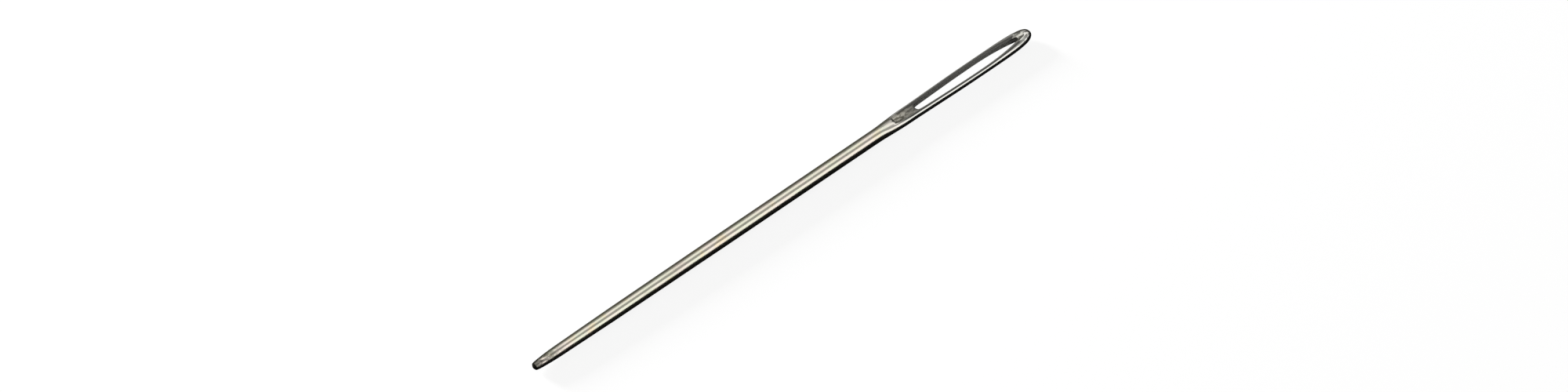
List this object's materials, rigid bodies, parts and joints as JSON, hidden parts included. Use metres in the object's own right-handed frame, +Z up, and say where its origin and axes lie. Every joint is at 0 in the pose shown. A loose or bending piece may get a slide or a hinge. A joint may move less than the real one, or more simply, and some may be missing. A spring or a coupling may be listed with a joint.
{
  "type": "leather stitching needle",
  "caption": "Blunt-pointed steel hand needle with a round tapered shank and a flattened head with a long gutter-lined eye, for saddle-stitching leather through awl holes.",
  "frame": {"origin": "middle of the needle's length, on the surface that the needle lies on, below the shank's axis", "axes": "+X along the needle from the point to the head, +Z up and along the eye's opening, +Y across the head"},
  "size_m": [0.0572, 0.0018, 0.0013],
  "materials": {
    "nickel_plated_steel": "polished nickel plating on steel wire, with fine lines along the shank"
  },
  "bodies": {
    "root": {"needle": "nickel_plated_steel"}
  },
  "joints": []
}
